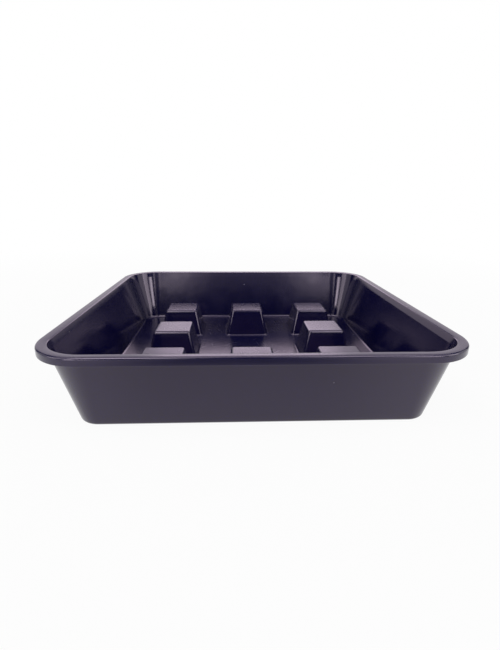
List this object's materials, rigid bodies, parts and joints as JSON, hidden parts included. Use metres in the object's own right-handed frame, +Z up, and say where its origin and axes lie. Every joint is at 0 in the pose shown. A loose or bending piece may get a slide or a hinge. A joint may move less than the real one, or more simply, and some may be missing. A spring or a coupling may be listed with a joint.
{
  "type": "square plant saucer",
  "caption": "Deep square plant saucer with leaning walls, rounded corners, a downturned rim and a ring of hollow pedestals that hold a pot above drained water.",
  "frame": {"origin": "centre of the square on the plane that the saucer stands on", "axes": "+Z up out of the tray; X and Y along the sides of the square, -Y towards the picture's viewer"},
  "size_m": [0.3, 0.3, 0.061],
  "materials": {
    "polypropylene": "semi-gloss moulded, violet black"
  },
  "bodies": {
    "root": {"rim": "polypropylene", "side_wall": "polypropylene", "foot_ring": "polypropylene", "floor_panel": "polypropylene", "pedestal_front_left": "polypropylene", "pedestal_front_centre": "polypropylene", "pedestal_front_right": "polypropylene", "pedestal_middle_left": "polypropylene", "pedestal_middle_right": "polypropylene", "pedestal_back_left": "polypropylene", "pedestal_back_centre": "polypropylene", "pedestal_back_right": "polypropylene"}
  },
  "joints": []
}
